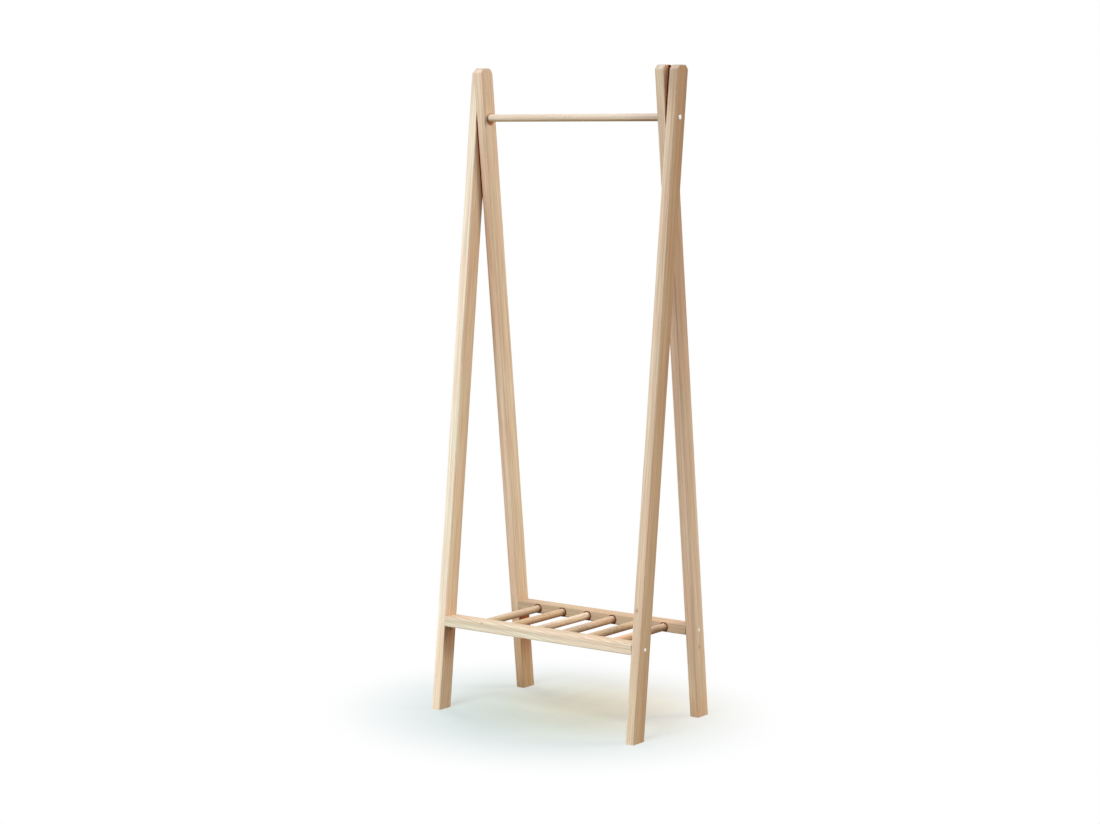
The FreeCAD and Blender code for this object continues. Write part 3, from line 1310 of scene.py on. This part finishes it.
@dataclass(frozen=True)
class Studio:
    """Camera, lamps, surroundings and floor."""

    lamps: tuple[SoftBox, ...]
    camera_place: Triple = (3.35744, -4.63997, 1.40367)
    camera_tilt: float = 83.3651
    camera_turn: float = 36.4612
    lens_mm: float = 78.455
    sensor_mm: float = 36.0
    ambient: Rgb = (1.40, 0.90, 0.60)
    ambient_strength: float = 0.07
    white: tuple[float, ...] = (1.0, 1.0, 1.0, 1.0)
    floor_reach: float = 14.0
    floor_colour: Rgb = (0.36, 0.48, 0.46)
    pool_colour: Rgb = (0.50, 0.43, 0.22)
    pool_radius: float = 0.56
    pool_place: Triple = (0.08, 0.16, 0.0)
    shade_place: Triple = (-0.05, -0.03, 0.0)
    shade_turn: float = 28.0
    shade_squeeze: float = 1.12
    white_floor: float = 0.36
    white_from: float = 0.10
    white_at: float = 0.65

    def build(self) -> None:
        """Set up everything round the rack."""
        bpy.context.scene.view_settings.view_transform = "Standard"
        self.camera()
        self.surroundings()
        self.floor()
        for lamp in self.lamps:
            lamp.build()

    def camera(self) -> None:
        """Make the camera."""
        camera = add_object("camera", bpy.data.cameras.new("camera"))
        camera.data.lens = self.lens_mm
        camera.data.sensor_width = self.sensor_mm
        camera.location = self.camera_place
        camera.rotation_euler = (math.radians(self.camera_tilt), 0.0, math.radians(self.camera_turn))
        bpy.context.scene.camera = camera

    @staticmethod
    def seen_directly(g: Graph) -> Socket:
        """Tell rays that show a surface from rays that carry light.

        Args:
            g: The tree of the floor or the surroundings.

        Returns:
            1 where a ray comes from the camera, a reflection or glass, and 0 elsewhere.
        """
        rays = g.add("LightPath", {}).outputs
        direct = g.math("MAXIMUM", rays["Is Camera Ray"], rays["Is Glossy Ray"])
        return g.math("MAXIMUM", direct, rays["Is Transmission Ray"])

    def surroundings(self) -> None:
        """Even soft light from all round, seen as plain white."""
        world = bpy.data.worlds.new("studio")
        bpy.context.scene.world = world
        g = emptied(world)
        light = g.add("Background", {"Color": (*self.ambient, 1.0), "Strength": self.ambient_strength})
        white = g.add("Background", {"Color": self.white, "Strength": 1.0})
        both = g.add("MixShader", {0: self.seen_directly(g), 1: light.outputs[0], 2: white.outputs[0]})
        g.add("OutputWorld", {"Surface": both.outputs[0]})

    def floor(self) -> None:
        """A pale floor with a soft pool of shade under the rack, which turns to plain white further out."""
        reach = self.floor_reach
        mesh = bpy.data.meshes.new("studio_floor")
        corners = [(-reach, -reach, 0.0), (reach, -reach, 0.0), (reach, reach, 0.0), (-reach, reach, 0.0)]
        mesh.from_pydata(corners, [], [(0, 1, 2, 3)])
        floor = add_object("studio_floor", mesh)

        material = bpy.data.materials.new("studio_floor")
        g = emptied(material)
        where = g.add("TexCoord", {}).outputs["Object"]
        pool = g.step(g.length(g.vector("SUBTRACT", where, self.pool_place)), self.pool_radius, 0.0)
        across = g.add("Mapping", {
            "Vector": g.vector("SUBTRACT", where, self.shade_place),
            "Rotation": (0.0, 0.0, math.radians(self.shade_turn)),
        }).outputs[0]
        away = g.length(g.vector("MULTIPLY", across, (1.0, self.shade_squeeze, 1.0)))
        colour = g.mix(pool, (*self.floor_colour, 1.0), (*self.pool_colour, 1.0))
        matt = g.add("BsdfDiffuse", {"Color": colour})
        white = g.add("Emission", {"Color": self.white, "Strength": 1.0})
        whiteness = g.step(away, self.white_from, self.white_at, self.white_floor, 1.0)
        turns_white = g.math("MULTIPLY", whiteness, self.seen_directly(g))
        both = g.add("MixShader", {0: turns_white, 1: matt.outputs[0], 2: white.outputs[0]})
        g.add("OutputMaterial", {"Surface": both.outputs[0]})
        mesh.materials.append(material)


def left_end() -> EndFrame:
    """The left end, with the palest leg in front.

    Returns:
        The end with its wood.
    """
    front = Timber(
        Tone((0.69, 0.53, 0.39)), heart=(0.07, 0.09), ring_width=0.0042, seed=1.3, rings=0.5,
        sap=(-2.9, 5.5), sap_along=-0.14, foot=(0.99, 0.92, 0.86),
    )
    rear = Timber(
        Tone((0.66, 0.49, 0.36)), heart=(-0.05, 0.08), ring_width=0.0038, seed=2.9, streaks=0.7, bands=0.5,
        sap=(2.2, -3.8), sap_along=-0.10, foot=(0.72, 0.66, 0.57), front_tint=(1.20, 1.12, 1.08),
        knots=(Knot((0.080, -0.0076, -0.012), 0.0014, 0.35), Knot((0.0607, -0.0098, -0.012), 0.0012, 0.3)),
    )
    return EndFrame(Side.LEFT, front, rear, behind_crossing=(0.68, 0.62, 0.56))


def right_end() -> EndFrame:
    """The right end, with the brownest leg in front.

    Returns:
        The end with its wood.
    """
    front = Timber(
        Tone((0.49, 0.33, 0.22)), heart=(0.09, -0.06), ring_width=0.0036, seed=4.1,
        sap=(-4.2, 6.8), sap_along=-0.30, foot=(0.95, 0.93, 0.90),
        knots=(Knot((-1.1404, -0.0225, 0.0027), 0.0022, 0.7),),
    )
    rear = Timber(
        Tone((0.60, 0.43, 0.32)), heart=(-0.08, 0.05), ring_width=0.004, seed=5.7,
        sap=(1.9, -3.6), sap_along=-0.11, foot=(0.97, 0.96, 0.94), front_tint=(1.07, 1.03, 0.97),
        knots=(Knot((-1.2733, -0.0028, -0.012), 0.0024, 0.6),),
    )
    return EndFrame(Side.RIGHT, front, rear, behind_crossing=(0.85, 0.80, 0.78))


def hanging_rail() -> HangingRail:
    """The hanging rail, with two faint knots at its middle.

    Returns:
        The rail with its wood.
    """
    wood = Timber(
        Tone((0.66, 0.53, 0.41)), heart=(0.02, 0.04), ring_width=0.003, seed=3.3,
        sap=(0.0, 3.0), under_tint=(0.86, 0.70, 0.54),
        knots=(Knot((-0.020, -0.0086, 0.002), 0.0014, 0.35), Knot((-0.006, -0.0086, 0.001), 0.0013, 0.3)),
    )
    return HangingRail(wood)


def shelf() -> LadderShelf:
    """The shelf, with arched grain on its front rail.

    Returns:
        The shelf with its wood.
    """
    front = Timber(
        Tone((0.71, 0.58, 0.43)), heart=(-0.03, -0.05), ring_width=0.0062, seed=6.2, taper=0.13,
        sap=(-2.7, -5.2), front_tint=(1.05, 0.98, 0.96),
        knots=(Knot((-0.1623, -0.0225, 0.0094), 0.0016, 0.7),),
    )
    rear = Timber(Tone((0.54, 0.38, 0.25)), heart=(-0.06, 0.03), ring_width=0.0042, seed=7.4, sap=(1.1, 2.5))
    means = (
        (0.55, 0.42, 0.29), (0.53, 0.36, 0.23), (0.64, 0.49, 0.36),
        (0.55, 0.38, 0.26), (0.51, 0.34, 0.21), (0.58, 0.37, 0.24),
    )
    # Each slat's heart and seed lie a step further on, so that no two show the same rings
    slats = tuple(
        Timber(
            Tone(mean), heart=(0.03 + 0.004 * index, 0.02 - 0.009 * index), ring_width=0.0031,
            seed=8.3 + 1.7 * index, sap=(0.0, 22.0), flecks=0.5,
        )
        for index, mean in enumerate(means)
    )
    return LadderShelf(front, rear, slats)


def studio() -> Studio:
    """The studio, with a large lamp above the front and small ones round it.

    Returns:
        The studio with its lamps.
    """
    return Studio((
        SoftBox("key", place=(0.3, -5.3, 5.6), side=3.0, power=500.0, colour=(0.86, 1.0, 1.13)),
        SoftBox("top", place=(-0.6, -0.5, 4.4), side=2.6, power=40.0, colour=(0.96, 1.0, 1.04)),
        SoftBox(
            "rear", place=(3.2, 2.8, 2.4), side=2.0, power=140.0, colour=(1.13, 1.0, 0.83),
            target=(0.0, 0.0, 0.5), glossy=False,
        ),
        SoftBox(
            "left", place=(-3.6, 1.5, 1.9), side=2.0, power=90.0, colour=(1.0, 1.0, 0.97),
            target=(0.0, 0.0, 0.6), glossy=False,
        ),
        SoftBox("front", place=(-1.0, -4.2, 1.2), side=2.0, power=25.0, colour=(1.1, 1.0, 0.85)),
    ))


def main() -> None:
    """Dress the rack and set up the studio."""
    logging.basicConfig(level=logging.INFO, format="%(name)s: %(message)s")
    effects = Effects()
    steel, plastic = ZINC_PLATE.material(effects), CAP_PLASTIC.material(effects)
    for end_frame in (left_end(), right_end()):
        end_frame.dress(effects)
        end_frame.build(steel, plastic)
    hanging_rail().dress(effects)
    shelf().dress(effects)
    studio().build()


if __name__ == "__main__":
    main()
